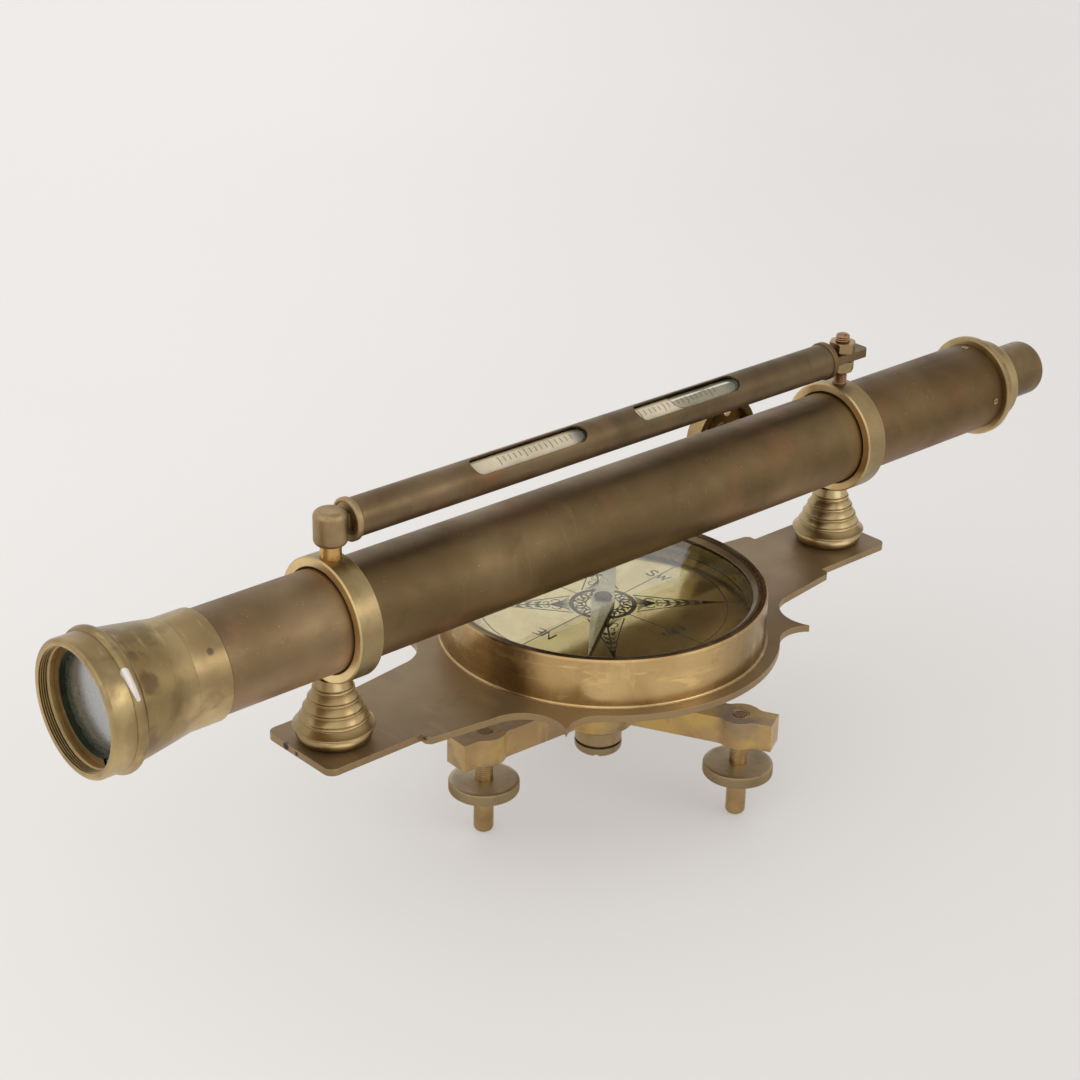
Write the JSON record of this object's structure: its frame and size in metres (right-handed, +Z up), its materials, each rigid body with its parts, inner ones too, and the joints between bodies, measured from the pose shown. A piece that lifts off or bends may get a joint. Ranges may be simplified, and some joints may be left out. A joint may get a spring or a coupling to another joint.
{
  "type": "surveying level",
  "caption": "Antique brass surveying level: telescope on collars and turned pillars, spirit level above, compass on the plate, three-armed base with levelling screws.",
  "frame": {"origin": "on the ground under the vertical axis, at the middle of the circle through the three feet", "axes": "+X along the telescope to the eyepiece, +Z up"},
  "size_m": [0.455, 0.128, 0.1493],
  "materials": {
    "base_brass": "satin",
    "plate_brass": "satin",
    "gold_brass": "polished",
    "cell_brass": "satin",
    "tube_brass": "satin",
    "copper": "polished",
    "dial": "satin",
    "steel": "satin",
    "glass": "polished",
    "bed": "matte"
  },
  "bodies": {
    "base": {"tribrach": "base_brass"},
    "head": {"spindle": "base_brass", "centre_washer": "base_brass", "centre_screw": "base_brass", "base_plate": "plate_brass", "front_pillar": "gold_brass", "rear_pillar": "gold_brass", "pillar_screws": "base_brass", "compass_bowl": "gold_brass", "compass_screws": "base_brass", "dial_plate": "dial", "pivot_pin": "steel", "compass_glass": "glass", "bezel_ring": "plate_brass", "front_collar": "cell_brass", "rear_collar": "cell_brass", "main_tube": "tube_brass", "objective_bell": "cell_brass", "objective_ring": "cell_brass", "lens_retainer": "gold_brass", "objective_lens": "glass", "rear_flange": "cell_brass", "flange_screws": "gold_brass", "pinion_bush": "cell_brass", "bush_screws": "gold_brass", "front_post": "copper", "post_cap": "cell_brass", "level_pivot_pin": "base_brass", "rear_stud": "copper"},
    "foot_1": {"foot_1": "base_brass"},
    "foot_2": {"foot_2": "base_brass"},
    "foot_3": {"foot_3": "base_brass"},
    "screw_1": {"levelling_screw_1": "base_brass"},
    "screw_2": {"levelling_screw_2": "base_brass"},
    "screw_3": {"levelling_screw_3": "base_brass"},
    "needle": {"needle": "steel", "needle_cap": "gold_brass"},
    "draw": {"draw_tube": "cell_brass", "focus_rack": "gold_brass", "reticle": "steel", "eyepiece_mount": "tube_brass"},
    "eyepiece": {"eyepiece": "tube_brass", "field_lens": "glass", "eye_lens": "glass"},
    "focus": {"pinion": "gold_brass", "focus_wheel": "gold_brass", "wheel_screw": "base_brass"},
    "level": {"level_tube": "tube_brass", "level_front_cap": "cell_brass", "level_rear_cap": "cell_brass", "front_vial": "glass", "rear_vial": "glass", "front_vial_bed": "bed", "rear_vial_bed": "bed"},
    "upper_nut": {"upper_nut": "cell_brass"},
    "lower_nut": {"lower_nut": "cell_brass"}
  },
  "joints": [
    {"name": "azimuth_turn", "type": "hinge", "parent": "base", "child": "head", "pos_m": [0, 0, 0.0405], "axis": [0, 0, 1], "continuous": true},
    {"name": "foot_lift_1", "type": "slide", "parent": "base", "child": "foot_1", "axis": [0, 0, 1], "range_m": [-0.005, 0.008]},
    {"name": "screw_turn_1", "type": "hinge", "parent": "foot_1", "child": "screw_1", "pos_m": [-0.05334, 0.00242, 0.0188], "axis": [0, 0, 1], "range_deg": [-1801, 2881]},
    {"name": "foot_lift_2", "type": "slide", "parent": "base", "child": "foot_2", "axis": [0, 0, 1], "range_m": [-0.005, 0.008]},
    {"name": "screw_turn_2", "type": "hinge", "parent": "foot_2", "child": "screw_2", "pos_m": [0.02457, -0.04741, 0.0188], "axis": [0, 0, 1], "range_deg": [-1801, 2881]},
    {"name": "foot_lift_3", "type": "slide", "parent": "base", "child": "foot_3", "axis": [0, 0, 1], "range_m": [-0.005, 0.008]},
    {"name": "screw_turn_3", "type": "hinge", "parent": "foot_3", "child": "screw_3", "pos_m": [0.02877, 0.04499, 0.0188], "axis": [0, 0, 1], "range_deg": [-1801, 2881]},
    {"name": "needle_turn", "type": "hinge", "parent": "head", "child": "needle", "pos_m": [0, 0, 0.0764], "axis": [0, 0, 1], "continuous": true},
    {"name": "focus_turn", "type": "hinge", "parent": "head", "child": "focus", "pos_m": [0.086, 0.027, 0.108], "axis": [0, 1, 0], "range_deg": [0, 574]},
    {"name": "draw_slide", "type": "slide", "parent": "head", "child": "draw", "axis": [1, 0, 0], "range_m": [0, 0.03]},
    {"name": "eyepiece_slide", "type": "slide", "parent": "draw", "child": "eyepiece", "axis": [1, 0, 0], "range_m": [0, 0.008]},
    {"name": "level_tilt", "type": "hinge", "parent": "head", "child": "level", "pos_m": [-0.121, 0, 0.1404], "axis": [0, 1, 0], "range_deg": [-0.475, 0.475]},
    {"name": "upper_nut_turn", "type": "hinge", "parent": "level", "child": "upper_nut", "pos_m": [0.121, 0, 0.1404], "axis": [0, 0, 1], "range_deg": [-722, 722]},
    {"name": "lower_nut_turn", "type": "hinge", "parent": "level", "child": "lower_nut", "pos_m": [0.121, 0, 0.1404], "axis": [0, 0, 1], "range_deg": [-722, 722]}
  ],
  "couplings": [
    {"joint": "screw_turn_1", "follows": "foot_lift_1", "rad_per_m": 6283.2},
    {"joint": "screw_turn_2", "follows": "foot_lift_2", "rad_per_m": 6283.2},
    {"joint": "screw_turn_3", "follows": "foot_lift_3", "rad_per_m": 6283.2},
    {"joint": "focus_turn", "follows": "draw_slide", "rad_per_m": 333.33},
    {"joint": "upper_nut_turn", "follows": "level_tilt", "ratio": -1520.5},
    {"joint": "lower_nut_turn", "follows": "level_tilt", "ratio": -1520.5}
  ]
}
